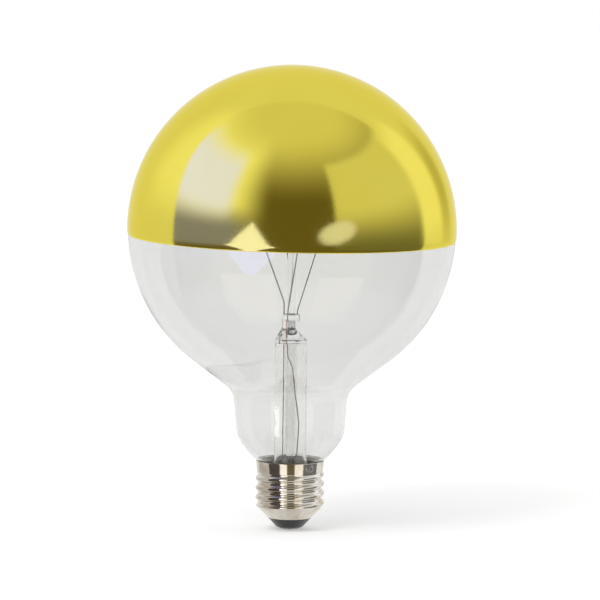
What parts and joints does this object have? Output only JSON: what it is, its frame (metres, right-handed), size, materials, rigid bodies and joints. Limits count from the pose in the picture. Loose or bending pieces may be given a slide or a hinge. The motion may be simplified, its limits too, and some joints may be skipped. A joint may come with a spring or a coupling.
{
  "type": "gold crown globe lamp",
  "caption": "Clear globe lamp with a gold mirrored crown, a pressed glass stem that carries a coiled filament, and a round-thread screw cap.",
  "frame": {"origin": "flat of the centre contact's solder, on the lamp's axis", "axes": "+Z along the lamp's axis from the centre contact to the mirrored crown; -Y towards the camera"},
  "size_m": [0.125, 0.125, 0.177],
  "materials": {
    "clear_glass": "clear blown, polished by fire",
    "gold_mirror": "bright mirror under gold lacquer",
    "stem_glass": "clear lead glass, fire polished",
    "copper_clad_wire": "reddish copper-clad wire",
    "nickel_wire": "drawn nickel wire",
    "tail_wire": "bare drawn wire, slightly tarnished",
    "molybdenum_wire": "grey drawn wire",
    "tungsten_coil": "dark grey coiled wire",
    "nickel_shell": "nickel-plated rolled sheet, satin bright",
    "black_glass": "glossy black moulded glass",
    "contact_metal": "stamped plate",
    "solder": "dull tin solder",
    "cement": "baked basing cement, yellow-green, matt"
  },
  "bodies": {
    "root": {"glass_globe": "clear_glass", "gold_crown": "gold_mirror", "stem_tube": "stem_glass", "exhaust_tube": "stem_glass", "arbor_rod": "stem_glass", "seal_wire_left": "copper_clad_wire", "seal_wire_front": "copper_clad_wire", "inner_lead_left": "nickel_wire", "inner_lead_front": "nickel_wire", "contact_lead": "tail_wire", "shell_lead": "tail_wire", "support_back": "molybdenum_wire", "support_right": "molybdenum_wire", "anchor_1": "molybdenum_wire", "anchor_2": "molybdenum_wire", "anchor_3": "molybdenum_wire", "filament": "tungsten_coil", "screw_shell": "nickel_shell", "insulator": "black_glass", "contact_eyelet": "contact_metal", "solder_tip": "solder", "side_solder": "solder", "cement_ring": "cement"}
  },
  "joints": []
}
